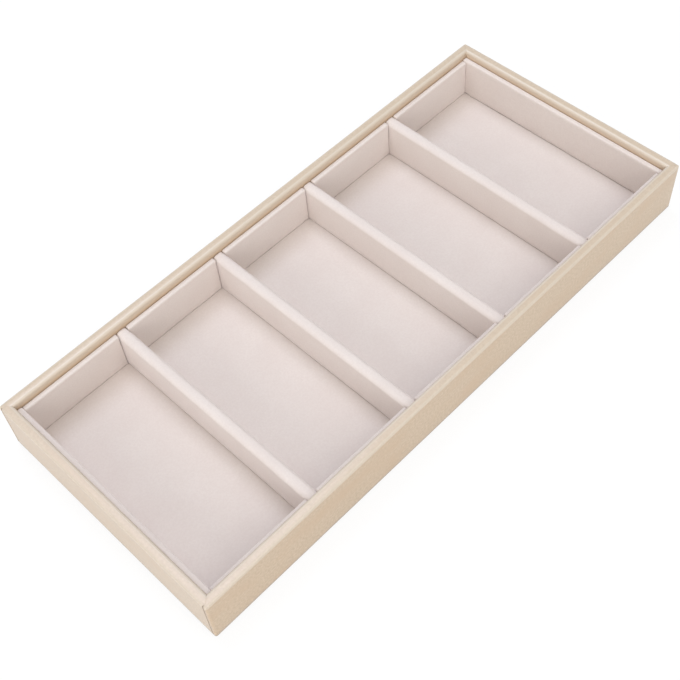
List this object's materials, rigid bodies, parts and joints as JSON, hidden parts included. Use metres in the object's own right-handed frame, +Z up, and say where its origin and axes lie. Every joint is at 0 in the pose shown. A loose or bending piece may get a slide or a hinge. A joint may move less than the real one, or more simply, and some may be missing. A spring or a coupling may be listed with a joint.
{
  "type": "sunglasses organizer tray",
  "caption": "Low rectangular leatherette tray lined with padded velvet, with padded dividers that make a row of compartments for folded sunglasses.",
  "frame": {"origin": "centre of the footprint, on the surface that the tray stands on", "axes": "+X along the length, to the right for someone who faces the long front wall; +Y from the front wall to the back wall; +Z up, out of the compartments"},
  "size_m": [0.4, 0.176, 0.0388],
  "materials": {
    "leatherette": "satin champagne with a fine metallic grain",
    "velvet": "short matt pile, blush grey",
    "fibreboard": "raw",
    "grey_board": "raw",
    "foam": "matt",
    "underside_felt": "matt"
  },
  "bodies": {
    "root": {"base_board": "grey_board", "underside_sheet": "underside_felt", "front_wall_core": "fibreboard", "back_wall_core": "fibreboard", "left_wall_core": "fibreboard", "right_wall_core": "fibreboard", "front_wrap": "leatherette", "back_wrap": "leatherette", "left_wrap": "leatherette", "right_wrap": "leatherette", "floor_board": "grey_board", "floor_cover": "velvet", "front_pad_board_1": "grey_board", "front_pad_cover_1": "velvet", "front_pad_board_2": "grey_board", "front_pad_cover_2": "velvet", "front_pad_board_3": "grey_board", "front_pad_cover_3": "velvet", "front_pad_board_4": "grey_board", "front_pad_cover_4": "velvet", "front_pad_board_5": "grey_board", "front_pad_cover_5": "velvet", "back_pad_board_1": "grey_board", "back_pad_cover_1": "velvet", "back_pad_board_2": "grey_board", "back_pad_cover_2": "velvet", "back_pad_board_3": "grey_board", "back_pad_cover_3": "velvet", "back_pad_board_4": "grey_board", "back_pad_cover_4": "velvet", "back_pad_board_5": "grey_board", "back_pad_cover_5": "velvet", "left_end_pad_board": "grey_board", "left_end_pad_cover": "velvet", "right_end_pad_board": "grey_board", "right_end_pad_cover": "velvet", "divider_board_1": "grey_board", "divider_foam_1": "foam", "divider_cover_1": "velvet", "divider_board_2": "grey_board", "divider_foam_2": "foam", "divider_cover_2": "velvet", "divider_board_3": "grey_board", "divider_foam_3": "foam", "divider_cover_3": "velvet", "divider_board_4": "grey_board", "divider_foam_4": "foam", "divider_cover_4": "velvet"}
  },
  "joints": []
}
